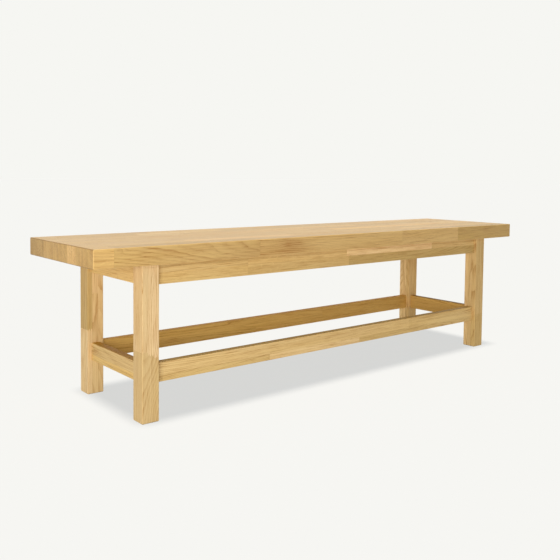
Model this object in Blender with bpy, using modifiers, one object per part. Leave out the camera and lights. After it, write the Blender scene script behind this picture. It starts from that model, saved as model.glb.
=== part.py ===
# A solid oak bench: a thick seat glued up from full-length staves, on a frame of four square
# legs with rails under the seat and stretchers near the floor.
# Metres, +Z up. X runs along the bench and the front is at -Y. The origin is on the floor,
# under the middle of the seat.

import math

import bmesh
import bpy

# Seat
SEAT_LENGTH = 1.700
SEAT_WIDTH = 0.400
SEAT_THICKNESS = 0.048
BENCH_HEIGHT = 0.450
STAVE_COUNT = 8
SEAT_ARRIS = 0.0025

# Legs, and how far the seat stands out past their outer faces
LEG_SIDE = 0.048
END_OVERHANG = 0.138
SIDE_OVERHANG = 0.018
LEG_ARRIS = 0.002

# Rails under the seat. A setback is from the leg's outer face to the outer face of the bar.
RAIL_HEIGHT = 0.053
RAIL_THICKNESS = 0.024
RAIL_SETBACK = 0.009
RAIL_TOP_SHOULDER = 0.013

# Stretchers near the floor
STRETCHER_HEIGHT = 0.050
STRETCHER_THICKNESS = 0.024
STRETCHER_SETBACK = 0.012
STRETCHER_RISE = 0.097
STRETCHER_TOP_SHOULDER = 0.008

# Mortises and tenons. The two tenons that meet inside a leg are mitred against each other.
GLUE_GAP = 0.0003
TENON_THICKNESS = 0.010
TENON_BOTTOM_SHOULDER = 0.008
TENON_ROOT = 0.012
TENON_ROUNDING_SHARE = 0.45
MORTISE_RELIEF = 0.001
BAR_ARRIS = 0.0015
CUT_OVERRUN = 0.006

# Wooden buttons that hook into slots in the rails and hold the seat down
LIP_HEIGHT = 0.012
BUTTON_LENGTH = 0.030
BUTTON_WIDTH = 0.028
BUTTON_ARRIS = 0.001
TONGUE_LENGTH = 0.011
TONGUE_THICKNESS = 0.008
SLOT_SIDE_PLAY = 0.005
SLOT_DROP = 0.0012
SEASON_GAP = 0.002
LONG_BUTTON_SHARES = (-0.66, 0.0, 0.66)
END_BUTTON_SHARES = (-0.5, 0.5)

# Countersunk wood screws, driven up through the buttons
SCREW_LENGTH = 0.040
SCREW_RADIUS = 0.002
SCREW_HEAD_RADIUS = 0.004
SCREW_HEAD_RIM = 0.0004
SCREW_POINT = 0.006
SCREW_HOLE_PLAY = 0.0005
DRIVE_RADIUS = 0.0016
DRIVE_DEPTH = 0.0018
DRIVE_TAPER_SHARE = 0.8
PILOT_RELIEF = 0.001

# Counts of steps round an arc
ARRIS_STEPS = 3
CORNER_STEPS = 4
TURNED_STEPS = 24
DRIVE_SIDES = 6
MERGE_DISTANCE = 0.00001
SMOOTH_ANGLE = math.radians(35.0)

# Colours in linear light: base colour, roughness, metallic
SEAT_OAK = (0.67, 0.47, 0.27, 0.52, 0.0)
FRAME_OAK = (0.62, 0.41, 0.19, 0.50, 0.0)
BUTTON_OAK = (0.55, 0.36, 0.18, 0.60, 0.0)
STEEL = (0.56, 0.55, 0.52, 0.35, 1.0)
TONE_SPREAD_SHARE = 0.05
TONE_CYCLE = 5

# Directions, as the outward normals of a block's sides
LEFT, RIGHT = (-1, 0, 0), (1, 0, 0)
FRONT, BACK = (0, -1, 0), (0, 1, 0)
UP = (0, 0, 1)
QUARTER_TURN = math.pi / 2

# Sizes that follow from the ones above
SEAT_UNDERSIDE = BENCH_HEIGHT - SEAT_THICKNESS
FRAME_TOP = SEAT_UNDERSIDE - GLUE_GAP
STAVE_WIDTH = (SEAT_WIDTH - (STAVE_COUNT - 1) * GLUE_GAP) / STAVE_COUNT
LEG_X = SEAT_LENGTH / 2 - END_OVERHANG - LEG_SIDE / 2
LEG_Y = SEAT_WIDTH / 2 - SIDE_OVERHANG - LEG_SIDE / 2
LONG_SPAN = 2 * LEG_X - LEG_SIDE
END_SPAN = 2 * LEG_Y - LEG_SIDE
STEP_HEIGHT = LIP_HEIGHT + GLUE_GAP
BUTTON_HEIGHT = STEP_HEIGHT + TONGUE_THICKNESS
BUTTON_BOTTOM = SEAT_UNDERSIDE - GLUE_GAP - BUTTON_HEIGHT


# A level of bars between the legs: its height, thickness and setback, the shoulder above
# its tenons and the height of its middle above the floor.
class Level:
    def __init__(self, height, thickness, setback, top_shoulder, bottom):
        self.height = height
        self.thickness = thickness
        self.middle = bottom + height / 2
        # from the leg's outer face to the middle of the bar's thickness
        self.line = setback + thickness / 2
        self.tenon_height = height - top_shoulder - TENON_BOTTOM_SHOULDER
        self.tenon_shift = (TENON_BOTTOM_SHOULDER - top_shoulder) / 2
        # from a tenon's shoulder to the middle of its mitred tip
        self.reach = LEG_SIDE - self.line - GLUE_GAP


RAILS = Level(RAIL_HEIGHT, RAIL_THICKNESS, RAIL_SETBACK, RAIL_TOP_SHOULDER,
              FRAME_TOP - RAIL_HEIGHT)
STRETCHERS = Level(STRETCHER_HEIGHT, STRETCHER_THICKNESS, STRETCHER_SETBACK,
                   STRETCHER_TOP_SHOULDER, STRETCHER_RISE)


def clear_scene():
    for obj in list(bpy.data.objects):
        bpy.data.objects.remove(obj)


def new_collection(name):
    made = bpy.data.collections.new(name)
    bpy.context.scene.collection.children.link(made)
    return made


def paint(name, finish, step=0):
    # step moves the tone a little, so that neighbouring pieces of wood differ
    tone = 1 + TONE_SPREAD_SHARE * (step * 2 % TONE_CYCLE - TONE_CYCLE // 2)
    material = bpy.data.materials.new(name)
    material.use_nodes = True
    shader = material.node_tree.nodes["Principled BSDF"]
    colour = [min(1.0, value * tone) for value in finish[:3]]
    shader.inputs["Base Color"].default_value = (*colour, 1.0)
    shader.inputs["Roughness"].default_value = finish[3]
    shader.inputs["Metallic"].default_value = finish[4]
    material.diffuse_color = (*colour, 1.0)
    return material


def add_object(name, mesh, collection):
    obj = bpy.data.objects.new(name, mesh)
    collection.objects.link(obj)
    return obj


def add_tool(name, mesh):
    # a shape that only cuts or joins another, so it doesn't show
    tool = add_object(name, mesh, cutters)
    tool.hide_render = True
    tool.display_type = "WIRE"
    return tool


def block_mesh(name, size, sharp_sides=()):
    # A sawn block round its own middle. Edges between two open sides are marked to be eased;
    # those along a side that meets another piece stay sharp.
    work = bmesh.new()
    bmesh.ops.create_cube(work, size=1.0)
    bmesh.ops.scale(work, vec=size, verts=work.verts)
    work.normal_update()
    weight = work.edges.layers.float.new("bevel_weight_edge")
    for edge in work.edges:
        sides = [tuple(round(value) for value in face.normal) for face in edge.link_faces]
        edge[weight] = 0.0 if any(side in sharp_sides for side in sides) else 1.0
    mesh = bpy.data.meshes.new(name)
    work.to_mesh(mesh)
    work.free()
    return mesh


def ease(obj, width):
    bevel = obj.modifiers.new("eased arrises", "BEVEL")
    bevel.width = width
    bevel.segments = ARRIS_STEPS
    bevel.limit_method = "WEIGHT"
    return obj


def boolean(obj, tool, operation="DIFFERENCE"):
    change = obj.modifiers.new(tool.name, "BOOLEAN")
    change.operation = operation
    change.solver = "EXACT"
    change.object = tool


def prism_mesh(name, start, end, width, height, mitre=0):
    # A slot-mill shape along X: its four long edges are rounded, and mitre slants its far end.
    work = bmesh.new()
    bmesh.ops.create_cube(work, size=1.0)
    bmesh.ops.scale(work, vec=(end - start, width, height), verts=work.verts)
    bmesh.ops.translate(work, vec=((start + end) / 2, 0, 0), verts=work.verts)
    along = [edge for edge in work.edges
             if edge.verts[0].co.yz == edge.verts[1].co.yz]
    bmesh.ops.bevel(work, geom=along, offset=TENON_ROUNDING_SHARE * min(width, height),
                    segments=CORNER_STEPS, profile=0.5, affect="EDGES")
    middle = (start + end) / 2
    for vert in work.verts:
        if vert.co.x > middle:
            vert.co.x += mitre * vert.co.y
    mesh = bpy.data.meshes.new(name)
    work.to_mesh(mesh)
    work.free()
    return mesh


def turned(name, profile):
    # profile is (radius, height) pairs down the outer side, from the axis back to the axis
    mesh = bpy.data.meshes.new(name)
    points = [(radius, 0, height) for radius, height in profile]
    mesh.from_pydata(points, [(i, i + 1) for i in range(len(points) - 1)], [])
    obj = add_tool(name, mesh)
    turn = obj.modifiers.new("turning", "SCREW")
    turn.axis = "Z"
    turn.steps = TURNED_STEPS
    turn.render_steps = TURNED_STEPS
    turn.use_merge_vertices = True
    turn.merge_threshold = MERGE_DISTANCE
    return obj


def finished_mesh(pattern):
    # the pattern's shape with its modifiers applied, for its copies to share
    bpy.context.view_layer.update()
    graph = bpy.context.evaluated_depsgraph_get()
    mesh = bpy.data.meshes.new_from_object(pattern.evaluated_get(graph))
    mesh.name = pattern.name
    mesh.shade_smooth()
    mesh.set_sharp_from_angle(angle=SMOOTH_ANGLE)
    bpy.data.objects.remove(pattern)
    return mesh


def place(name, mesh, position, turn, group, finish, step=0):
    obj = add_object(name, mesh, parts)
    obj.location = position
    obj.rotation_euler = (0, 0, turn)
    obj.parent = group
    if not mesh.materials:
        mesh.materials.append(None)
    slot = obj.material_slots[0]
    slot.link = "OBJECT"
    slot.material = paint(name, finish, step)
    return obj


def add_group(name, parent=None):
    group = add_object(name, None, parts)
    group.parent = parent
    return group


# The leg at the left of the front, seen from above with its outer corner at -X, -Y. Turned by
# quarters it serves all four corners, because both of its mortised sides are alike.
def leg_mesh():
    height = FRAME_TOP
    leg = add_object("leg", block_mesh("leg", (LEG_SIDE, LEG_SIDE, height), (UP,)), parts)
    ease(leg, LEG_ARRIS)
    for level, label in ((RAILS, "rail"), (STRETCHERS, "stretcher")):
        line = level.line - LEG_SIDE / 2
        floor = line - TENON_THICKNESS / 2 - MORTISE_RELIEF
        shape = prism_mesh(f"{label} mortise", floor, LEG_SIDE / 2 + CUT_OVERRUN,
                           TENON_THICKNESS + 2 * GLUE_GAP,
                           level.tenon_height + 2 * GLUE_GAP)
        rise = level.middle + level.tenon_shift - height / 2
        along_bench = add_tool(f"long {label} mortise", shape)
        along_bench.location = (0, line, rise)
        across_bench = add_tool(f"end {label} mortise", shape)
        across_bench.location = (line, 0, rise)
        across_bench.rotation_euler = (0, 0, QUARTER_TURN)
        # the shape runs along its own X, so a quarter turn sends it along Y
        boolean(leg, along_bench)
        boolean(leg, across_bench)
    return finished_mesh(leg)


# A bar between two legs, its outer face at -Y, with a mitred tenon at each end. The tenon is
# longer on its outer side, where it passes in front of the one that comes from the side.
def bar_mesh(name, span, level, button_places=()):
    length = span - 2 * GLUE_GAP
    bar = add_object(name, block_mesh(name, (length, level.thickness, level.height),
                                      (LEFT, RIGHT)), parts)
    ease(bar, BAR_ARRIS)
    for side in (1, -1):
        shape = prism_mesh(f"{name} tenon", length / 2 - TENON_ROOT, span / 2 + level.reach,
                           TENON_THICKNESS, level.tenon_height, mitre=-side)
        tenon = add_tool(f"{name} tenon {side}", shape)
        tenon.location = (0, 0, level.tenon_shift)
        tenon.rotation_euler = (0, 0, 0 if side > 0 else math.pi)
        boolean(bar, tenon, "UNION")
    for index, along in enumerate(button_places):
        slot = slot_tool(f"{name} slot {index + 1}")
        slot.location = (along, level.thickness / 2,
                         BUTTON_BOTTOM + TONGUE_THICKNESS / 2 - SLOT_DROP / 2 + GLUE_GAP / 2
                         - level.middle)
        boolean(bar, slot)
    return finished_mesh(bar)


# The slot for a button's tongue, cut into the inner face of a rail. Its roof is the lip that
# the tongue bears on, one glue gap above the tongue.
def slot_tool(name):
    depth = TONGUE_LENGTH + SEASON_GAP
    height = TONGUE_THICKNESS + GLUE_GAP + SLOT_DROP
    width = BUTTON_WIDTH + 2 * SLOT_SIDE_PLAY
    slot = add_tool(name, prism_mesh(name, -depth, CUT_OVERRUN, width, height))
    slot.rotation_euler = (0, 0, QUARTER_TURN)
    return slot


# Where the buttons sit along a rail, from its middle
def long_button_places():
    return [share * LONG_SPAN / 2 for share in LONG_BUTTON_SHARES]


def end_button_places():
    return [share * END_SPAN / 2 for share in END_BUTTON_SHARES]


# Each button's name, the foot of its rail's inner face, and the turn that faces it inwards.
# Its own +Y points away from the rail, and the frame's middle lies that way.
def button_spots():
    long_face = LEG_Y + LEG_SIDE / 2 - RAILS.line - RAILS.thickness / 2
    end_face = LEG_X + LEG_SIDE / 2 - RAILS.line - RAILS.thickness / 2
    spots = []
    for number, along in enumerate(long_button_places(), 1):
        spots.append((f"front_{number}", (along, -long_face), 0))
        spots.append((f"back_{number}", (along, long_face), math.pi))
    for number, along in enumerate(end_button_places(), 1):
        spots.append((f"left_{number}", (-end_face, along), -QUARTER_TURN))
        spots.append((f"right_{number}", (end_face, along), QUARTER_TURN))
    return spots


# A button's screw stands at the middle of its body, this far from the rail's face
SCREW_OFFSET = SEASON_GAP + BUTTON_LENGTH / 2


def button_mesh():
    # The origin is on the rail's inner face, at the height of the button's underside.
    reach = TONGUE_LENGTH + SEASON_GAP + BUTTON_LENGTH
    button = add_object("button", block_mesh("button", (BUTTON_WIDTH, reach, BUTTON_HEIGHT)),
                        parts)
    button.location = (0, reach / 2 - TONGUE_LENGTH, BUTTON_HEIGHT / 2)
    ease(button, BUTTON_ARRIS)
    # the notch that leaves the tongue
    notch_length = TONGUE_LENGTH + SEASON_GAP + CUT_OVERRUN
    notch_height = STEP_HEIGHT + CUT_OVERRUN
    notch = add_tool("button notch", block_mesh(
        "button notch", (BUTTON_WIDTH + 2 * CUT_OVERRUN, notch_length, notch_height)))
    notch.location = (0, SEASON_GAP - notch_length / 2, TONGUE_THICKNESS + notch_height / 2)
    boolean(button, notch)
    # the screw's clearance hole, countersunk from below
    hole_radius = SCREW_RADIUS + SCREW_HOLE_PLAY
    sink_radius = SCREW_HEAD_RADIUS + SCREW_HOLE_PLAY
    top = BUTTON_HEIGHT + CUT_OVERRUN
    hole = turned("button hole", [
        (0, top),
        (hole_radius, top),
        (hole_radius, sink_radius - hole_radius + SCREW_HEAD_RIM),
        (sink_radius, SCREW_HEAD_RIM),
        (sink_radius, -CUT_OVERRUN),
        (0, -CUT_OVERRUN),
    ])
    hole.location = (0, SCREW_OFFSET, 0)
    boolean(button, hole)
    made = finished_mesh(button)
    # keep the shape where it was modelled, against the rail's face
    work = bmesh.new()
    work.from_mesh(made)
    bmesh.ops.translate(work, vec=(0, reach / 2 - TONGUE_LENGTH, BUTTON_HEIGHT / 2),
                        verts=work.verts)
    work.to_mesh(made)
    work.free()
    return made


def screw_mesh():
    # head down, its face level with the button's underside
    screw = turned("screw", [
        (0, SCREW_LENGTH),
        (SCREW_RADIUS, SCREW_LENGTH - SCREW_POINT),
        (SCREW_RADIUS, SCREW_HEAD_RADIUS - SCREW_RADIUS + SCREW_HEAD_RIM),
        (SCREW_HEAD_RADIUS, SCREW_HEAD_RIM),
        (SCREW_HEAD_RADIUS, 0),
        (0, 0),
    ])
    drive = bmesh.new()
    bmesh.ops.create_cone(drive, cap_ends=True, segments=DRIVE_SIDES, radius1=DRIVE_RADIUS,
                          radius2=DRIVE_RADIUS * DRIVE_TAPER_SHARE, depth=2 * DRIVE_DEPTH)
    mesh = bpy.data.meshes.new("screw drive")
    drive.to_mesh(mesh)
    drive.free()
    boolean(screw, add_tool("screw drive", mesh))
    return finished_mesh(screw)


def screw_places():
    # the middle of each screw, seen from above
    places = []
    for _, (x, y), turn in button_spots():
        places.append((x - SCREW_OFFSET * math.sin(turn), y + SCREW_OFFSET * math.cos(turn)))
    return places


def pilot_holes():
    # one tool for every screw that bites into the seat from below
    depth = SCREW_LENGTH - BUTTON_HEIGHT - GLUE_GAP + PILOT_RELIEF
    length = depth + CUT_OVERRUN
    work = bmesh.new()
    for x, y in screw_places():
        made = bmesh.ops.create_cone(work, cap_ends=True, segments=TURNED_STEPS,
                                     radius1=SCREW_RADIUS + SCREW_HOLE_PLAY,
                                     radius2=SCREW_RADIUS + SCREW_HOLE_PLAY, depth=length)
        bmesh.ops.translate(work, verts=made["verts"],
                            vec=(x, y, SEAT_UNDERSIDE + depth - length / 2))
    mesh = bpy.data.meshes.new("pilot holes")
    work.to_mesh(mesh)
    work.free()
    return add_tool("pilot holes", mesh)


def build_seat(group):
    holes = pilot_holes()
    for index in range(STAVE_COUNT):
        # only the seat's own edges are eased, and a stave stays sharp where it is glued
        glued = [side for side, meets in ((FRONT, index > 0), (BACK, index < STAVE_COUNT - 1))
                 if meets]
        name = f"seat_stave_{index + 1}"
        stave = add_object(name, block_mesh(
            name, (SEAT_LENGTH, STAVE_WIDTH, SEAT_THICKNESS), glued), parts)
        stave.location = (0, (STAVE_WIDTH - SEAT_WIDTH) / 2 + index * (STAVE_WIDTH + GLUE_GAP),
                          SEAT_UNDERSIDE + SEAT_THICKNESS / 2)
        stave.parent = group
        ease(stave, SEAT_ARRIS)
        boolean(stave, holes)
        stave.data.materials.append(paint(name, SEAT_OAK, index))


def build_legs(group):
    mesh = leg_mesh()
    corners = (
        ("front_left", -LEG_X, -LEG_Y),
        ("front_right", LEG_X, -LEG_Y),
        ("back_right", LEG_X, LEG_Y),
        ("back_left", -LEG_X, LEG_Y),
    )
    for quarter, (corner, x, y) in enumerate(corners):
        place(f"leg_{corner}", mesh, (x, y, FRAME_TOP / 2), quarter * QUARTER_TURN, group,
              FRAME_OAK, quarter)


def build_bars(group):
    for level, label in ((RAILS, "rail"), (STRETCHERS, "stretcher")):
        slotted = level is RAILS
        long_bar = bar_mesh(f"long {label}", LONG_SPAN, level,
                            long_button_places() if slotted else ())
        end_bar = bar_mesh(f"end {label}", END_SPAN, level,
                           end_button_places() if slotted else ())
        along_y = LEG_Y + LEG_SIDE / 2 - level.line
        across_x = LEG_X + LEG_SIDE / 2 - level.line
        bars = (
            (f"long_{label}_front", long_bar, 0, -along_y, 0),
            (f"end_{label}_right", end_bar, across_x, 0, QUARTER_TURN),
            (f"long_{label}_back", long_bar, 0, along_y, math.pi),
            (f"end_{label}_left", end_bar, -across_x, 0, -QUARTER_TURN),
        )
        for step, (name, mesh, x, y, turn) in enumerate(bars):
            place(name, mesh, (x, y, level.middle), turn, group, FRAME_OAK, step + 1)


def build_fixings(group):
    button, screw = button_mesh(), screw_mesh()
    for step, ((spot, (x, y), turn), centre) in enumerate(zip(button_spots(), screw_places())):
        place(f"button_{spot}", button, (x, y, BUTTON_BOTTOM), turn, group, BUTTON_OAK, step)
        place(f"screw_{spot}", screw, (*centre, BUTTON_BOTTOM), turn, group, STEEL)


clear_scene()
parts = new_collection("wooden_bench")
cutters = new_collection("cutters")
bench = add_group("bench")
build_seat(add_group("seat", bench))
frame = add_group("frame", bench)
build_legs(frame)
build_bars(frame)
build_fixings(add_group("seat_fixings", bench))
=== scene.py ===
import math
import random

import bpy
from mathutils import Matrix, Vector


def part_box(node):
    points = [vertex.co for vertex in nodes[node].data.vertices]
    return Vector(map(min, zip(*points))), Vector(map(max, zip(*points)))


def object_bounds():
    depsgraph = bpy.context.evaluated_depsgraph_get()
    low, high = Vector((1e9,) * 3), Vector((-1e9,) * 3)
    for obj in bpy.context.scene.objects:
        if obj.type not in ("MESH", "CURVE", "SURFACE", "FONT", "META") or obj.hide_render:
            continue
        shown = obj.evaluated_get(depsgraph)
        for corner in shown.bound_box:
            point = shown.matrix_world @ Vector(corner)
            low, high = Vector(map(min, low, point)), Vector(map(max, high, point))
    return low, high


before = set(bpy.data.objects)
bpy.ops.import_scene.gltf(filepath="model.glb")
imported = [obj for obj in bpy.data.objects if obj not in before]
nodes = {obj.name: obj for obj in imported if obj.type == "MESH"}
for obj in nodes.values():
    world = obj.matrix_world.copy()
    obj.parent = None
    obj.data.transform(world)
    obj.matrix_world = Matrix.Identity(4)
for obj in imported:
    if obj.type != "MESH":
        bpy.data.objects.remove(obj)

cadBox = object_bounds()
print("bench loaded:", len(nodes), "pieces")


# Short hands for writing shader nodes
class Sheet:
    def __init__(self, tree):
        self.tree = tree

    def feed(self, socket, value):
        if isinstance(value, bpy.types.NodeSocket):
            self.tree.links.new(value, socket)
        else:
            socket.default_value = value

    def put(self, kind, sockets=(), **settings):
        made = self.tree.nodes.new(kind)
        for name, value in settings.items():
            setattr(made, name, value)
        pairs = sockets.items() if isinstance(sockets, dict) else enumerate(sockets)
        for name, value in pairs:
            self.feed(made.inputs[name], value)
        return made

    def maths(self, operation, *values):
        return self.put("ShaderNodeMath", values, operation=operation).outputs[0]

    def times(self, first, second):
        return self.maths("MULTIPLY", first, second)

    def largest(self, first, second, third):
        return self.maths("MAXIMUM", self.maths("MAXIMUM", first, second), third)

    def stack(self, base, *layers):
        # A layer is a value and its share
        for value, share in layers:
            base = self.maths("MULTIPLY_ADD", value, share, base)
        return base

    def vector(self, along, across, up):
        return self.put("ShaderNodeCombineXYZ", (along, across, up)).outputs[0]

    def parts(self, vector):
        return self.put("ShaderNodeSeparateXYZ", (vector,)).outputs[:3]

    def vectorMaths(self, operation, *vectors):
        return self.put("ShaderNodeVectorMath", vectors, operation=operation).outputs[0]

    def noise(self, place, stretch, detail=2.0, roughness=0.5):
        stretched = self.vectorMaths("MULTIPLY", place, stretch)
        sockets = {"Vector": stretched, "Scale": 1.0, "Detail": detail, "Roughness": roughness}
        return self.put("ShaderNodeTexNoise", sockets).outputs[0]

    def swing(self, noise):
        # Noise runs from 0 to 1, and this sets its middle at zero
        return self.maths("SUBTRACT", noise, 0.5)

    def chance(self, *numbers):
        sockets = {"Vector": self.vector(*numbers)}
        return self.put("ShaderNodeTexWhiteNoise", sockets, noise_dimensions="3D").outputs

    def span(self, value, low, high, toLow=0.0, toHigh=1.0, kind="SMOOTHSTEP"):
        sockets = {"Value": value, "From Min": low, "From Max": high, "To Min": toLow, "To Max": toHigh}
        return self.put("ShaderNodeMapRange", sockets, interpolation_type=kind).outputs[0]

    def between(self, chance, least, most):
        return self.span(chance, 0.0, 1.0, least, most, "LINEAR")

    def tint(self, factor, before, after, blend="MIX"):
        sockets = {0: factor, 6: before, 7: after}
        return self.put("ShaderNodeMix", sockets, data_type="RGBA", blend_type=blend).outputs[2]

    def choose(self, factor, before, after):
        return self.put("ShaderNodeMix", {0: factor, 4: before, 5: after}, data_type="VECTOR").outputs[1]


def shade(red, green, blue):
    # A colour as it is read off a paint chart, 0 to 255, turned into the renderer's linear light
    channels = [value / 255 for value in (red, green, blue)]
    return tuple(c / 12.92 if c < 0.04045 else ((c + 0.055) / 1.055) ** 2.4 for c in channels) + (1.0,)


def newGroup(name, inputs, outputs):
    tree = bpy.data.node_groups.new(name, "ShaderNodeTree")
    for label, kind in inputs:
        tree.interface.new_socket(label, in_out="INPUT", socket_type="NodeSocket" + kind)
    for label, kind in outputs:
        tree.interface.new_socket(label, in_out="OUTPUT", socket_type="NodeSocket" + kind)
    sheet = Sheet(tree)
    return sheet, sheet.put("NodeGroupInput").outputs, sheet.put("NodeGroupOutput").inputs


# Solid oak: growth rings round a pith that lies outside each block, pores in the early wood,
# rays that run out from the pith, and the tone of the block that the wood was cut from.
# A grain is how often it changes in a metre along, across and up, then its detail and roughness.
oakFigure = {
    "pithAway": (0.030, 0.085),       # nearest and farthest pith, metres from the block
    "lean": 0.085,                    # how far the pith strays along the grain, metres a metre
    "taper": (0.010, 0.045),          # how fast a ring widens along the grain, metres a metre
    "blockShift": 7.0,                # metres that set one block's grain apart from the next one's
    "ringWidth": (0.0024, 0.0044),
    "wave": 0.012,                    # long waves in the rings, metres
    "waveGrain": ((2.6, 12.0, 12.0), 1.0),
    "ripple": 0.0023,                 # short ones
    "rippleGrain": ((15.0, 62.0, 62.0), 2.0),
    "earlyFade": 2.2,                 # how fast the dark early wood fades across a ring
    "lateFade": 5.0,                  # how late the thinner dark line of the late wood starts
    "lateShare": 0.35,                # and how dark it is beside the early wood
    "yearStrength": (0.25, 1.10),     # weakest and strongest year
    "ringDepth": 0.72,
    "leastDepth": 0.05,
    "dashDepth": 0.22,                # short dark vessel lines
    "dashGrain": ((13.0, 480.0, 480.0), 2.0, 0.6),
    "dashSpan": (0.50, 0.64),
    "dashStrength": (0.7, 1.4),       # what they do to the rings
    "streakDepth": 0.75,
    "streakGrain": ((5.0, 240.0, 240.0), 3.0, 0.62),
    "cloudDepth": 0.45,
    "cloudGrain": ((1.8, 17.0, 17.0), 2.0),
    "poreDepth": 0.45,
    "poreGrain": ((95.0, 2600.0, 2600.0), 1.0),
    "poreSpan": (0.56, 0.68),
    "poreStrength": (0.2, 1.0),       # in the late and in the early wood
    "rayDepth": 0.16,
    "rayGrain": ((75.0, 1500.0, 50.0), 1.0),
    "raySpan": (0.62, 0.72),
    "rayFan": 0.08,                   # metres for each radian round the pith
    "knotDepth": 0.60,
    "knotFocus": 3.0,                 # how much smaller the dark middle is than the rings pushed aside
    "pinKnotSpan": (1.0, 2.0),        # a knot as dark as this is tinted too
    "pinKnotTint": (0.42, 0.33, 0.22, 1.0),
    "blush": 1.6,                     # drift of the warmth inside a block
    "blushGrain": ((3.0, 34.0, 34.0), 1.0),
    "toneStep": 0.30,                 # how much lighter a block of tone 1 is
    "warmthShares": (0.025, 0.005, -0.12),    # red, green and blue: warm is more orange, cool is paler
    "endSpan": (0.35, 0.75),          # how squarely a face looks along the grain before it is end grain
    "endTint": (0.82, 0.80, 0.75, 1.0),
    "endBandDepth": 0.8,              # groups of rings that show as upright bands in the end grain
    "endBandGrain": ((1.0, 85.0, 14.0), 1.0),
    # The arrises get a painted highlight; the upper edge of the end grain is darkened by oil and painted
    # shade
    "arrisHighlightSpan": (0.97, 0.80),        # how far the surface turns from a flat face
    "endArrisSpan": (0.15, 0.40),
    "endArrisTint": (0.40, 0.32, 0.22, 1.0),
    "glueSpan": (0.000180, 0.000072),    # metres from the joint where the glue starts to show and is full
    "glueStrength": 0.7,
    "glueTint": (0.62, 0.50, 0.36, 1.0),
    "roughShares": (0.16, 0.22, -0.07, 0.10),     # streaks, pores, rays and end grain
    "reliefShares": (0.35, -1.0, -0.25, -0.6),    # streaks, pores, early wood and glue
    "relief": 0.00012,
    "reliefStrength": 0.55,
}


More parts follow.
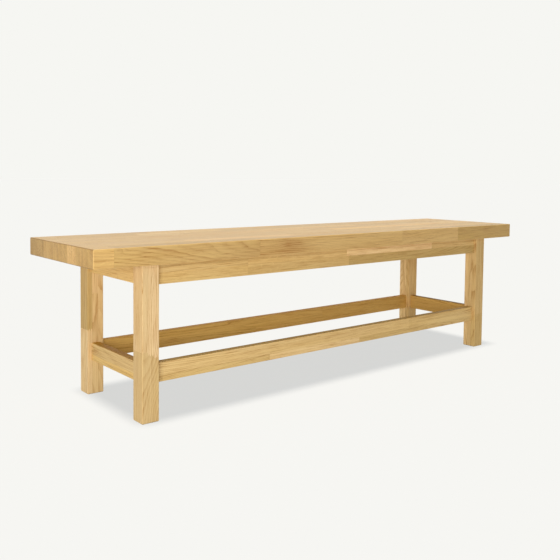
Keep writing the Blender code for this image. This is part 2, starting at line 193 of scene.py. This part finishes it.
def makeOakFigure(look):
    sheet, given, made = newGroup(
        "oak figure",
        [("Place", "Vector"), ("Facing", "Vector"), ("Block", "Vector"), ("Joint", "Float"),
         ("Bend", "Float"), ("Knot", "Float"), ("End Tone", "Float"), ("Pale", "Color"),
         ("Deep", "Color"), ("Rough", "Float"), ("Arris Highlight", "Float")],
        [("Color", "Color"), ("Roughness", "Float"), ("Height", "Float")])
    along, across, up = sheet.parts(given["Place"])
    turn, tone, warmth = sheet.parts(given["Block"])

    # Each block draws its own numbers from its turn, and the count keeps the draws apart
    pithChance, *leanChance = sheet.parts(sheet.chance(turn, 1.0, 0.0)["Color"])
    taperChance, ringChance = sheet.parts(sheet.chance(turn, 2.0, 0.0)["Color"])[:2]
    shift = {0: sheet.chance(turn, 3.0, 0.0)["Color"], "Scale": look["blockShift"]}
    shifted = sheet.put("ShaderNodeVectorMath", shift, operation="SCALE").outputs[0]
    own = sheet.vectorMaths("ADD", given["Place"], shifted)

    # Distance from the pith, bent by waves and knots, counted in rings
    angle = sheet.times(turn, 2 * math.pi)
    away = sheet.between(pithChance, *look["pithAway"])
    fromPith = []
    for side, trig, chance in ((across, "COSINE", leanChance[0]), (up, "SINE", leanChance[1])):
        pith = sheet.times(sheet.maths(trig, angle), away)
        stray = sheet.times(sheet.between(chance, -look["lean"], look["lean"]), along)
        fromPith.append(sheet.maths("ADD", sheet.maths("SUBTRACT", side, pith), stray))
    radius = sheet.maths("SQRT", sheet.maths("ADD", *(sheet.maths("POWER", side, 2.0) for side in fromPith)))
    wave = sheet.noise(own, *look["waveGrain"])
    ripple = sheet.noise(own, *look["rippleGrain"])
    taper = sheet.between(taperChance, *look["taper"])
    bent = sheet.stack(radius, (along, taper), (wave, look["wave"]), (ripple, look["ripple"]))
    bent = sheet.maths("ADD", given["Bend"], bent)
    rings = sheet.maths("DIVIDE", bent, sheet.between(ringChance, *look["ringWidth"]))

    # The shade of one year's ring, broken up by vessel lines
    year = sheet.maths("FLOOR", rings)
    season = sheet.maths("FRACT", rings)
    early = sheet.maths("POWER", sheet.maths("SUBTRACT", 1.0, season), look["earlyFade"])
    late = sheet.maths("POWER", season, look["lateFade"])
    strength = sheet.between(sheet.chance(year, turn, 5.0)["Value"], *look["yearStrength"])
    dashes = sheet.span(sheet.noise(own, *look["dashGrain"]), *look["dashSpan"])
    broken = sheet.times(strength, sheet.between(dashes, *look["dashStrength"]))
    ringShade = sheet.times(sheet.stack(early, (late, look["lateShare"])), broken)

    # Fibres, slow clouds of colour, open pores, rays, and bands in the end grain
    streak = sheet.noise(own, *look["streakGrain"])
    cloud = sheet.noise(own, *look["cloudGrain"])
    pores = sheet.span(sheet.noise(own, *look["poreGrain"]), *look["poreSpan"])
    pores = sheet.times(pores, sheet.between(early, *look["poreStrength"]))
    around = sheet.times(sheet.maths("ARCTAN2", fromPith[1], fromPith[0]), look["rayFan"])
    rayPlace = sheet.vector(along, around, bent)
    rays = sheet.span(sheet.noise(rayPlace, *look["rayGrain"]), *look["raySpan"])
    end, side, top = sheet.parts(given["Facing"])
    endShare = sheet.span(end, *look["endSpan"])
    bands = sheet.times(sheet.swing(sheet.noise(own, *look["endBandGrain"])), endShare)

    depth = sheet.stack(
        look["leastDepth"], (ringShade, look["ringDepth"]), (dashes, look["dashDepth"]),
        (sheet.swing(streak), look["streakDepth"]), (sheet.swing(cloud), look["cloudDepth"]),
        (pores, look["poreDepth"]), (rays, -look["rayDepth"]), (given["Knot"], look["knotDepth"]),
        (bands, look["endBandDepth"]))
    colour = sheet.tint(sheet.between(depth, 0.0, 1.0), given["Pale"], given["Deep"])
    pinKnot = sheet.span(given["Knot"], *look["pinKnotSpan"])
    colour = sheet.tint(pinKnot, colour, look["pinKnotTint"], "MULTIPLY")

    # The block's own tone and warmth
    blush = sheet.swing(sheet.noise(own, *look["blushGrain"]))
    warmth = sheet.stack(warmth, (blush, look["blush"]))
    tone = sheet.stack(tone, (given["End Tone"], endShare))
    level = sheet.stack(1.0, (tone, look["toneStep"]))
    block = [sheet.times(level, sheet.stack(1.0, (warmth, share))) for share in look["warmthShares"]]
    colour = sheet.tint(1.0, colour, sheet.vector(*block), "MULTIPLY")

    # End grain drinks more oil, the arrises get a painted highlight in the pale colour, the upper edge
    # of the end grain is darker from oil and painted shade, and glue lines are thin and dark
    colour = sheet.tint(endShare, colour, look["endTint"], "MULTIPLY")
    arrisHighlight = sheet.span(sheet.largest(end, side, top), *look["arrisHighlightSpan"])
    colour = sheet.tint(sheet.times(arrisHighlight, given["Arris Highlight"]), colour, given["Pale"])
    endArrisShade = sheet.span(sheet.times(end, top), *look["endArrisSpan"])
    colour = sheet.tint(endArrisShade, colour, look["endArrisTint"], "MULTIPLY")
    glue = sheet.span(given["Joint"], *look["glueSpan"])
    colour = sheet.tint(sheet.times(glue, look["glueStrength"]), colour, look["glueTint"], "MULTIPLY")

    rough = sheet.stack(given["Rough"], *zip((streak, pores, rays, endShare), look["roughShares"]))
    height = sheet.stack(0.0, *zip((streak, pores, early, glue), look["reliefShares"]))
    for label, value in (("Color", colour), ("Roughness", rough), ("Height", height)):
        sheet.feed(made[label], value)
    return sheet.tree


# One glued joint: past At the wood is the next block, and Nearest keeps the distance to the closest joint
def makeJointStep():
    sheet, given, made = newGroup(
        "glued joint",
        [("Run", "Float"), ("At", "Float"), ("Before", "Vector"), ("After", "Vector"),
         ("Near Before", "Float"), ("Near After", "Float")],
        [("Block", "Vector"), ("Nearest", "Float")])
    past = sheet.maths("SUBTRACT", given["Run"], given["At"])
    over = sheet.maths("GREATER_THAN", past, 0.0)
    sheet.feed(made["Block"], sheet.choose(over, given["Before"], given["After"]))
    near = sheet.put("ShaderNodeMix", {0: over, 2: given["Near Before"], 3: given["Near After"]}).outputs[0]
    sheet.feed(made["Nearest"], sheet.maths("MINIMUM", sheet.maths("ABSOLUTE", past), near))
    return sheet.tree


figureGroup = makeOakFigure(oakFigure)
jointGroup = makeJointStep()

# Each finish sets how strong the painted highlight on its arrises is
finishes = {
    "seat oak": {"pale": shade(233, 193, 122), "deep": shade(176, 122, 58),
                 "rough": 0.30, "specular": 0.30, "arrisHighlight": 0.80},
    "frame oak": {"pale": shade(234, 199, 132), "deep": shade(178, 128, 62),
                  "rough": 0.46, "specular": 0.15, "arrisHighlight": 0.15},
    "pale oak": {"pale": shade(241, 209, 155), "deep": shade(200, 152, 92),
                 "rough": 0.46, "specular": 0.15, "arrisHighlight": 0.0},
    # A darker, more saturated and less glossy copy of the frame oak: painted shade for the stretchers under
    # the seat
    "shade darkened oak": {"pale": shade(222, 180, 100), "deep": shade(166, 114, 46),
                 "rough": 0.46, "specular": 0.10, "arrisHighlight": 0.15},
    "button oak": {"pale": shade(214, 172, 118), "deep": shade(150, 104, 58),
                   "rough": 0.50, "specular": 0.30, "arrisHighlight": 0.30},
}

# Blocks glued end to end with finger joints
jointPlan = {
    "fingerPitch": 0.0035,      # half a finger's width
    "fingerReach": 2.2,         # how long a finger is for its width
    "farJoint": 1.0,            # metres: a block with no joint of its own
    "turnSpread": 0.07,         # how far a loose block is from the turn it should have
    "warmthSpread": 0.8,
    "runOn": 0.1,               # metres by which loose blocks pass the end of a piece
}
# Which way is along the grain, across and up; Z is z with its lamellas side by side in y
grainOrder = {"x": "xyz", "y": "yxz", "z": "zxy", "Z": "zyx"}
# The upper faces of the stretchers get painted shade, and painted light where the tint is above one
crownShadingSpan = (0.80, 0.95)        # how squarely a face looks up before it is the crown


def order(letters, vectorParts, sheet):
    return sheet.vector(*(vectorParts["xyz".index(letter)] for letter in letters))


def stepThrough(sheet, run, steps):
    # steps: (end, block vector, nearest joint), the last one's end unused
    end, block, near = steps[0]
    for nextEnd, nextBlock, nextNear in steps[1:]:
        step = sheet.put("ShaderNodeGroup", {}, node_tree=jointGroup)
        for label, value in (("Run", run), ("At", end), ("Before", block), ("After", nextBlock),
                             ("Near Before", near), ("Near After", nextNear)):
            sheet.feed(step.inputs[label], value)
        end, block, near = nextEnd, step.outputs["Block"], step.outputs["Nearest"]
    return block, near


def layBlocks(sheet, place, plan):
    # The fingers of each joint show as a zigzag on two faces and as a straight line on the others
    along, across, up = sheet.parts(place)
    zigzag = sheet.maths("PINGPONG", across, jointPlan["fingerPitch"])
    run = sheet.stack(along, (zigzag, jointPlan["fingerReach"]))
    lamellas = []
    for farSide, blocks in plan["lamellas"]:
        steps = [(end, (turn, tone, warmth), jointPlan["farJoint"]) for end, turn, tone, warmth in blocks]
        lamellas.append((farSide, *stepThrough(sheet, run, steps)))
    return stepThrough(sheet, up if plan.get("stacked") else across, lamellas)


def layKnots(sheet, place, swirls):
    bend = knot = 0.0
    for centre, size, push, dark in swirls:
        apart = sheet.vectorMaths("DIVIDE", sheet.vectorMaths("SUBTRACT", place, centre), size)
        far = sheet.put("ShaderNodeVectorMath", (apart, apart), operation="DOT_PRODUCT").outputs["Value"]
        bell = sheet.maths("EXPONENT", sheet.times(far, -1.0))
        bend = sheet.stack(bend, (bell, push))
        knot = sheet.stack(knot, (sheet.maths("POWER", bell, oakFigure["knotFocus"]), dark))
    return bend, knot


# A plan holds the grain, the finish and the lamellas as (far side, [(far end, turn of the rings,
# tone, warmth), ...]), side by side or stacked. It may hold swirls, as (centre, size, how far the
# rings are pushed aside, how dark the middle is), an endTone for the end grain alone and a tint of
# painted shade or painted light for the upper face. Sides, ends and centres are metres in the bench's
# own frame, and the last far side and far end of a list are not used.
def oakMaterial(name, plan):
    material = bpy.data.materials.new(name)
    material.use_nodes = True
    sheet = Sheet(material.node_tree)
    shader = material.node_tree.nodes["Principled BSDF"]
    letters = grainOrder[plan["grain"]]
    coordinates = sheet.put("ShaderNodeTexCoord").outputs
    place = order(letters, sheet.parts(coordinates["Object"]), sheet)
    facing = order(letters, sheet.parts(sheet.vectorMaths("ABSOLUTE", coordinates["Normal"])), sheet)
    block, nearest = layBlocks(sheet, place, plan)
    bend, knot = layKnots(sheet, place, plan.get("swirls", ()))

    figure = sheet.put("ShaderNodeGroup", {}, node_tree=figureGroup)
    finish = finishes[plan["finish"]]
    centred = sheet.vectorMaths("SUBTRACT", place, plan["centre"])
    for label, value in (("Place", centred), ("Facing", facing), ("Block", block), ("Joint", nearest),
                         ("Bend", bend), ("Knot", knot), ("End Tone", plan.get("endTone", 0.0)),
                         ("Pale", finish["pale"]), ("Deep", finish["deep"]),
                         ("Rough", finish["rough"]), ("Arris Highlight", finish["arrisHighlight"])):
        sheet.feed(figure.inputs[label], value)
    colour = figure.outputs["Color"]
    # The upper face gets painted shade, and painted light where the tint is above one
    if "crownShadingTint" in plan:
        crown = sheet.span(sheet.parts(coordinates["Normal"])[2], *crownShadingSpan)
        colour = sheet.tint(crown, colour, plan["crownShadingTint"], "MULTIPLY")
    relief = sheet.put("ShaderNodeBump", {"Strength": oakFigure["reliefStrength"],
                                          "Distance": oakFigure["relief"],
                                          "Height": figure.outputs["Height"]})
    sheet.feed(shader.inputs["Base Color"], colour)
    sheet.feed(shader.inputs["Roughness"], figure.outputs["Roughness"])
    sheet.feed(shader.inputs["Normal"], relief.outputs["Normal"])
    shader.inputs["Specular IOR Level"].default_value = finish["specular"]
    return material


def wear(piece, material):
    for slot in nodes[piece].material_slots:
        slot.material = material


def finishPiece(piece, plan):
    low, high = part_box(piece)
    letters = grainOrder[plan["grain"]]
    middle = [(low["xyz".index(letter)] + high["xyz".index(letter)]) / 2 for letter in letters]
    wear(piece, oakMaterial(piece.replace("_", " ") + " oak", dict(plan, centre=middle)))


chooser = random.Random(24)


def looseTurn(turns):
    spread = jointPlan["turnSpread"]
    return chooser.choice(turns) + chooser.uniform(-spread, spread)


def looseBlocks(start, end, shortest, longest, turns, tones):
    # Blocks as they came off the pile: lengths, turn of the rings and tone all differ
    spread = jointPlan["warmthSpread"]
    blocks = []
    while start < end:
        start += chooser.uniform(shortest, longest)
        if end - start < shortest:
            start = end
        blocks.append((start, looseTurn(turns), chooser.uniform(*tones), chooser.uniform(-spread, spread)))
    return blocks


# Seat: eight staves, each of several blocks
seatPlan = {
    "finish": "seat oak",
    "grain": "x",
    "frontBlocks": [
        (-0.790, 0.24, -0.06, 0.2), (-0.350, 0.02, -0.46, 0.1), (0.240, 0.37, -0.27, 0.0),
        (0.535, 0.22, -0.28, 0.0), (0.900, 0.255, -0.86, 1.5),
    ],
    "frontSwirls": [
        ((-0.395, -0.200, 0.413), (0.130, 0.050, 0.034), 0.000, 0.40),
        ((-0.248, -0.200, 0.424), (0.125, 0.050, 0.044), 0.000, 0.70),
        ((-0.256, -0.200, 0.432), (0.026, 0.030, 0.014), 0.005, 0.35),
        ((-0.212, -0.200, 0.436), (0.018, 0.030, 0.010), 0.003, 0.05),
        ((-0.785, -0.200, 0.446), (0.013, 0.030, 0.007), 0.004, 0.60),
    ],
    # Length, tone and warmth of each stave's first block at the left end, front to back,
    # and how much its end grain differs in tone from its sides
    "endBlocks": [
        (0.060, 0.0, 0.0, -0.15), (0.310, -0.02, 0.0, -0.05), (0.450, 0.10, -1.0, 0.72),
        (0.380, -0.04, -0.1, -0.10), (0.250, 0.0, -0.4, -0.05), (0.420, 0.02, -0.3, 0.0),
        (0.290, -0.10, -0.2, -0.36), (0.350, -0.12, -0.1, -0.54),
    ],
    "blockLength": (0.28, 0.62),
    "turns": (0.0, 0.5),
    "tones": (-0.32, 0.62),
}


def finishSeat(plan):
    start = cadBox[0][0]
    end = cadBox[1][0] + jointPlan["runOn"]
    for index, (length, tone, warmth, endTone) in enumerate(plan["endBlocks"]):
        blocks = [(start + length, looseTurn(plan["turns"]), tone, warmth)]
        blocks += looseBlocks(start + length, end, *plan["blockLength"], plan["turns"], plan["tones"])
        stave = dict(plan, lamellas=[(0.0, blocks)], endTone=endTone)
        if index == 0:
            stave["lamellas"] = [(0.0, plan["frontBlocks"])]
            stave["swirls"] = plan["frontSwirls"]
        finishPiece(f"seat_stave_{index + 1}", stave)
    print("seat finished")


finishSeat(seatPlan)

# Legs of three lamellas
legPlans = {
    "leg_front_left": {
        "grain": "z", "finish": "pale oak",
        "lamellas": [
            (-0.696, [(0.185, 0.27, -0.52, 0.9), (0.50, 0.14, -0.14, 0.0)]),
            (-0.680, [(0.177, 0.27, -0.54, 0.9), (0.50, 0.15, 0.08, -0.3)]),
            (0.0, [(0.168, 0.27, -0.56, 0.9), (0.50, 0.13, 0.14, -0.4)]),
        ],
        "swirls": [
            ((0.0, -0.660, -0.182), (0.125, 0.040, 0.060), 0.030, 0.0),
            ((0.399, -0.712, -0.164), (0.0045, 0.010, 0.0045), 0.0, 3.0),
        ],
    },
    "leg_back_left": {
        "grain": "z", "finish": "pale oak",
        "lamellas": [
            (-0.698, [(0.189, 0.02, -0.02, 0.3), (0.50, 0.52, -0.92, 1.8)]),
            (-0.680, [(0.292, 0.27, -0.22, 0.8), (0.50, 0.24, -0.05, 0.5)]),
            (0.0, [(0.110, 0.76, -0.26, 0.4), (0.50, 0.76, -0.14, 0.4)]),
        ],
    },
    "leg_front_right": {
        "grain": "Z", "finish": "frame oak",
        "lamellas": [
            (-0.166, [(0.120, 0.27, -0.36, 0.4), (0.50, 0.27, -0.06, -0.4)]),
            (-0.150, [(0.50, 0.30, -0.08, -0.8)]),
            (0.0, [(0.50, 0.24, 0.60, -1.4)]),
        ],
    },
    "leg_back_right": {
        "grain": "Z", "finish": "frame oak",
        "lamellas": [
            # The lowest block of this lamella is darker: painted shade on the front face below the stretcher
            (0.150, [(0.105, 0.26, -0.30, -0.2), (0.50, 0.26, 0.15, -0.3)]),
            (0.166, [(0.50, 0.29, 0.62, -1.4)]),
            (0.9, [(0.50, 0.22, 0.72, -1.6)]),
        ],
    },
}


def finishLegs(plans):
    for name, plan in plans.items():
        finishPiece(name, plan)
    print("legs finished")


# Rails and stretchers of two lamellas, one on the other, with the glue line at a share of the height
barPlan = {
    "finish": "frame oak",
    "glueLineShares": {"rail": 0.56, "stretcher": 0.35},
    "blockLength": (0.25, 0.60),
    "lowerTurns": (0.25, 0.75),
    "upperTurns": (0.0, 0.25),
    "tones": (-0.15, 0.15),
    # Painted shade on the upper faces of the stretchers, under the seat
    "crownShadingTint": (0.83, 0.72, 0.28, 1.0),    # the upper faces of the stretchers
}
# What differs from barPlan on one bar
barPlans = {
    "long_rail_front": {
        "lower": [(-0.374, 0.27, 0.12, 0.3), (0.020, 0.73, 0.03, 0.2), (0.90, 0.24, -0.57, 0.7)],
        "upper": [(-0.374, 0.26, -0.06, 0.0), (0.010, 0.24, 0.16, 0.0), (0.423, 0.23, 1.05, -2.0),
                  (0.90, 0.52, 0.12, -0.3)],
    },
    "end_rail_left": {"tones": (0.05, 0.35)},
    "long_stretcher_front": {
        # Painted shade on the upper face
        "crownShadingTint": (0.58, 0.55, 0.35, 1.0),
        "lower": [(-0.291, 0.26, -0.16, 0.0), (0.075, 0.76, 0.54, -1.2), (0.410, 0.24, -0.22, 0.0),
                  (0.90, 0.70, -0.14, -0.1)],
        "upper": [(0.315, 0.21, 0.20, -0.5), (0.90, 0.27, 0.02, -0.2)],
        "swirls": [
            ((-0.080, -0.170, 0.1175), (0.300, 0.060, 0.007), 0.0, -0.5),
            ((0.530, -0.170, 0.1195), (0.180, 0.060, 0.011), 0.0, -0.9),
        ],
    },
    "long_stretcher_back": {
        # Painted shade from the finish, and painted light on the upper face from a tint above one
        "finish": "shade darkened oak", "crownShadingTint": (1.16, 1.15, 1.06, 1.0),
        "lower": [(-0.10, 0.03, -0.22, 0.1), (0.90, 0.28, 0.14, -0.1)],
        "upper": [(0.205, 0.03, -0.02, 0.0), (0.90, 0.51, -0.04, 0.1)],
    },
    "end_stretcher_right": {
        # Painted shade from the finish and on the upper face
        "finish": "shade darkened oak", "crownShadingTint": (0.70, 0.72, 0.42, 1.0),
        "lower": [(0.90, 0.77, 0.0, 0.0)],
        "upper": [(0.90, 0.26, 0.10, -0.1)],
    },
}


def finishBar(bar, level):
    own = {**barPlan, **barPlans.get(bar, {})}
    low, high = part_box(bar)
    grain = "x" if bar.startswith("long") else "y"
    side = "xyz".index(grain)
    loose = (low[side], high[side] + jointPlan["runOn"], *own["blockLength"])
    lower = own.get("lower") or looseBlocks(*loose, own["lowerTurns"], own["tones"])
    upper = own.get("upper") or looseBlocks(*loose, own["upperTurns"], own["tones"])
    line = low.z + own["glueLineShares"][level] * (high.z - low.z)
    plan = {"grain": grain, "finish": own["finish"], "stacked": True,
            "lamellas": [(line, lower), (1.0, upper)], "swirls": own.get("swirls", ())}
    if level == "stretcher":
        plan["crownShadingTint"] = own["crownShadingTint"]
    finishPiece(bar, plan)


def finishBars():
    for level in ("rail", "stretcher"):
        for bar in (f"long_{level}_front", f"long_{level}_back", f"end_{level}_left", f"end_{level}_right"):
            finishBar(bar, level)
    print("rails and stretchers finished")


finishLegs(legPlans)
finishBars()

# Fixings: planed oak buttons and zinc plated screws
fixingPlan = {
    "finish": "button oak",
    "spread": 0.3,                      # how far the tones of the buttons differ
    "zinc": shade(176, 177, 174),
    "zincDull": shade(132, 131, 126),
    "spangleGrain": ((900.0, 900.0, 900.0), 3.0, 0.6),
    "spangleSpan": (0.3, 0.7),
    "turnedGrain": ((300.0, 300.0, 6000.0), 2.0),
    "turnedSpan": (0.2, 0.8),
    "rough": (0.26, 0.46),
    "relief": 0.00005,
    "reliefStrength": 0.3,
}


def zincMaterial(look):
    material = bpy.data.materials.new("zinc plated steel")
    material.use_nodes = True
    sheet = Sheet(material.node_tree)
    shader = material.node_tree.nodes["Principled BSDF"]
    place = sheet.put("ShaderNodeTexCoord").outputs["Object"]
    spangle = sheet.span(sheet.noise(place, *look["spangleGrain"]), *look["spangleSpan"])
    turnedMarks = sheet.noise(place, *look["turnedGrain"])
    relief = sheet.put("ShaderNodeBump", {"Strength": look["reliefStrength"], "Distance": look["relief"],
                                          "Height": turnedMarks})
    sheet.feed(shader.inputs["Base Color"], sheet.tint(spangle, look["zinc"], look["zincDull"]))
    sheet.feed(shader.inputs["Roughness"], sheet.span(turnedMarks, *look["turnedSpan"], *look["rough"]))
    sheet.feed(shader.inputs["Normal"], relief.outputs["Normal"])
    shader.inputs["Metallic"].default_value = 1.0
    return material


def finishFixings(plan):
    zinc = zincMaterial(plan)
    for name in sorted(nodes):
        if name.startswith("screw"):
            wear(name, zinc)
        if name.startswith("button"):
            grain = "y" if "front" in name or "back" in name else "x"
            block = (1.0, chooser.random(), chooser.uniform(-plan["spread"], plan["spread"]), 0.0)
            finishPiece(name, {"finish": plan["finish"], "grain": grain, "lamellas": [(0.0, [block])]})
    print("buttons and screws finished")


finishFixings(fixingPlan)

# Floor and backdrop: one pale colour that the camera and the gloss see, with the bench's shadow on it
stagePlan = {
    "pale": shade(246, 246, 242),
    "unlit": shade(210.5, 212, 211),       # what the camera sees without the floor lamp
    "bounce": shade(172, 172, 169),        # what the floor throws back on the bench
    "paint": (0.0915, 0.0872, 0.0795, 1.0),    # what it adds where the floor lamp reaches it
    "floorLamp": 2.80,
    "floorReach": 60.0,
    "floorCells": 8,
    "lampSoftness": 9.0,                   # degrees
    "worldLight": (0.97, 0.985, 1.0, 1.0),
    "worldLevel": 0.20,
}


def makeFloor(plan):
    cells = plan["floorCells"]
    bpy.ops.mesh.primitive_grid_add(x_subdivisions=cells, y_subdivisions=cells, size=2 * plan["floorReach"])
    floor = bpy.context.object
    floor.name = "studio_floor"
    material = bpy.data.materials.new("pale studio floor")
    material.use_nodes = True
    tree = material.node_tree
    tree.nodes.clear()
    sheet = Sheet(tree)
    seen = sheet.put("ShaderNodeLightPath").outputs
    colour = sheet.tint(seen["Is Diffuse Ray"], plan["unlit"], plan["bounce"])
    glow = sheet.put("ShaderNodeEmission", {"Color": colour, "Strength": 1.0})
    paint = sheet.put("ShaderNodeBsdfDiffuse", {"Color": plan["paint"]})
    both = sheet.put("ShaderNodeAddShader", (glow.outputs[0], paint.outputs[0]))
    sheet.put("ShaderNodeOutputMaterial", {"Surface": both.outputs[0]})
    floor.data.materials.append(material)
    return floor


# The flag under the seat that gives the shadow its edges: it ends at the legs, not at the seat's ends
flagPlan = {
    "beyondLegs": (-0.003, 0.056, -0.006, 0.018),   # left, right, front, back
    "height": 0.395,     # metres
}


def makeFlag(plan):
    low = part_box("leg_front_left")[0]
    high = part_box("leg_back_right")[1]
    left, right, front, back = plan["beyondLegs"]
    bpy.ops.mesh.primitive_grid_add(x_subdivisions=2, y_subdivisions=2, size=1.0)
    flag = bpy.context.object
    flag.name = "shadow_flag"
    flag.scale = (high.x + right - low.x - left, high.y + back - low.y - front, 1.0)
    flag.location = ((high.x + right + low.x + left) / 2, (high.y + back + low.y + front) / 2, plan["height"])
    for kind in ("camera", "diffuse", "glossy", "transmission", "volume_scatter"):
        setattr(flag, "visible_" + kind, False)
    return flag


def makeWorld(plan):
    world = bpy.data.worlds.new("studio")
    bpy.context.scene.world = world
    world.use_nodes = True
    tree = world.node_tree
    tree.nodes.clear()
    sheet = Sheet(tree)
    seen = sheet.put("ShaderNodeLightPath").outputs
    visible = sheet.largest(seen["Is Camera Ray"], seen["Is Glossy Ray"], seen["Is Transmission Ray"])
    light = sheet.put("ShaderNodeBackground", {"Color": plan["worldLight"], "Strength": plan["worldLevel"]})
    pale = sheet.put("ShaderNodeBackground", {"Color": plan["pale"], "Strength": 1.0})
    mixed = sheet.put("ShaderNodeMixShader", (visible, light.outputs[0], pale.outputs[0]))
    sheet.put("ShaderNodeOutputWorld", {"Surface": mixed.outputs[0]})


def aimed(lamp, place, target):
    lamp.location = place
    lamp.rotation_euler = (Vector(target) - Vector(place)).to_track_quat("-Z", "Y").to_euler()


def newLamp(name, kind, strength, receivers=None, leftOut=None, blocker=None):
    data = bpy.data.lights.new(name, kind)
    data.energy = strength
    lamp = bpy.data.objects.new(name, data)
    bpy.context.scene.collection.objects.link(lamp)
    if receivers or leftOut:
        lit = bpy.data.collections.new(name + " lights")
        for obj in receivers or leftOut:
            lit.objects.link(obj)
        lamp.light_linking.receiver_collection = lit
        if leftOut:
            for link in lit.collection_objects:
                link.light_linking.link_state = "EXCLUDE"
    if blocker:
        lamp.light_linking.blocker_collection = bpy.data.collections.new(name + " is held off by")
        lamp.light_linking.blocker_collection.objects.link(blocker)
    return lamp


lampPlan = {
    "overhead": 1.95,
    "overheadSoftness": 40.0,              # degrees
    "overheadPlace": (-0.2, -0.2, 3.0),
    "overheadAim": (0.0, 0.0, 0.0),
    "window": 50.0,
    "windowSize": (1.8, 1.0),
    "windowPlace": (-2.5, -2.0, 0.66),
    "windowAim": (0.0, -0.1, 0.30),
}


def makeLamps(plan, floor, flag):
    strength = stagePlan["floorLamp"] * math.pi
    floorLamp = newLamp("floor lamp", "SUN", strength, receivers=[floor], blocker=flag)
    floorLamp.data.angle = math.radians(stagePlan["lampSoftness"])
    overhead = newLamp("overhead softbox", "SUN", plan["overhead"], leftOut=[floor, flag])
    overhead.data.angle = math.radians(plan["overheadSoftness"])
    aimed(overhead, plan["overheadPlace"], plan["overheadAim"])
    window = newLamp("side softbox", "AREA", plan["window"], leftOut=[floor, flag])
    window.data.shape = "RECTANGLE"
    window.data.size, window.data.size_y = plan["windowSize"]
    aimed(window, plan["windowPlace"], plan["windowAim"])
    print("floor, world and lamps set")


studioFloor = makeFloor(stagePlan)
makeWorld(stagePlan)
makeLamps(lampPlan, studioFloor, makeFlag(flagPlan))

# Camera: just above seat height, a step off the bench's front left corner
cameraPlan = {
    "place": (-1.580234, -1.766651, 0.629009),
    "turn": 39.167,      # degrees from straight at the front, towards the right end
    "tilt": -3.083,
    "roll": 0.571,
    "sensor": 36.0,
    "lens": 46.482,
    "shift": (0.00808, -0.11868),
}


def makeCamera(plan):
    data = bpy.data.cameras.new("bench camera")
    data.sensor_width = plan["sensor"]
    data.lens = plan["lens"]
    data.shift_x, data.shift_y = plan["shift"]
    camera = bpy.data.objects.new("bench camera", data)
    bpy.context.scene.collection.objects.link(camera)
    turn = Matrix.Rotation(-math.radians(plan["turn"]), 4, "Z")
    tilt = Matrix.Rotation(math.radians(90 + plan["tilt"]), 4, "X")
    roll = Matrix.Rotation(math.radians(plan["roll"]), 4, "Z")
    camera.matrix_world = Matrix.Translation(plan["place"]) @ turn @ tilt @ roll
    bpy.context.scene.camera = camera


makeCamera(cameraPlan)
bpy.context.scene.view_settings.view_transform = "Standard"
print("camera set")
